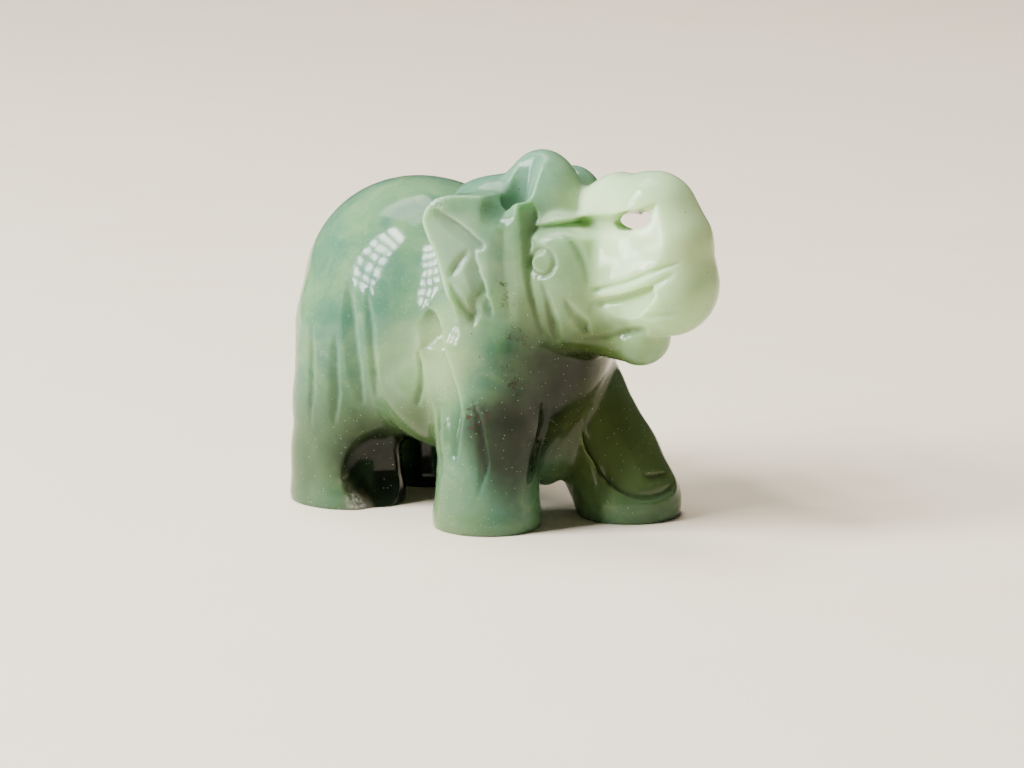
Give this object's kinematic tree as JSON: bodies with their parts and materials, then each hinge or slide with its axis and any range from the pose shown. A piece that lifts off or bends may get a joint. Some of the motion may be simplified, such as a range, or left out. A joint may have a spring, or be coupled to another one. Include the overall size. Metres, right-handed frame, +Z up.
{
  "type": "carved stone elephant figurine",
  "caption": "Small elephant carved from one piece of polished green stone, walking, with its trunk raised and curled back to its forehead and a pierced slot under the trunk.",
  "frame": {"origin": "middle of the bounding box at the height of the flat soles", "axes": "+Z up, the elephant faces -Y, its own left side is +X"},
  "size_m": [0.0198, 0.038, 0.0294],
  "materials": {
    "green_stone": "polished, slightly translucent green aventurine with pale and dark green zones, brown inclusions and fine sparkle"
  },
  "bodies": {
    "root": {"elephant_carving": "green_stone"}
  },
  "joints": []
}
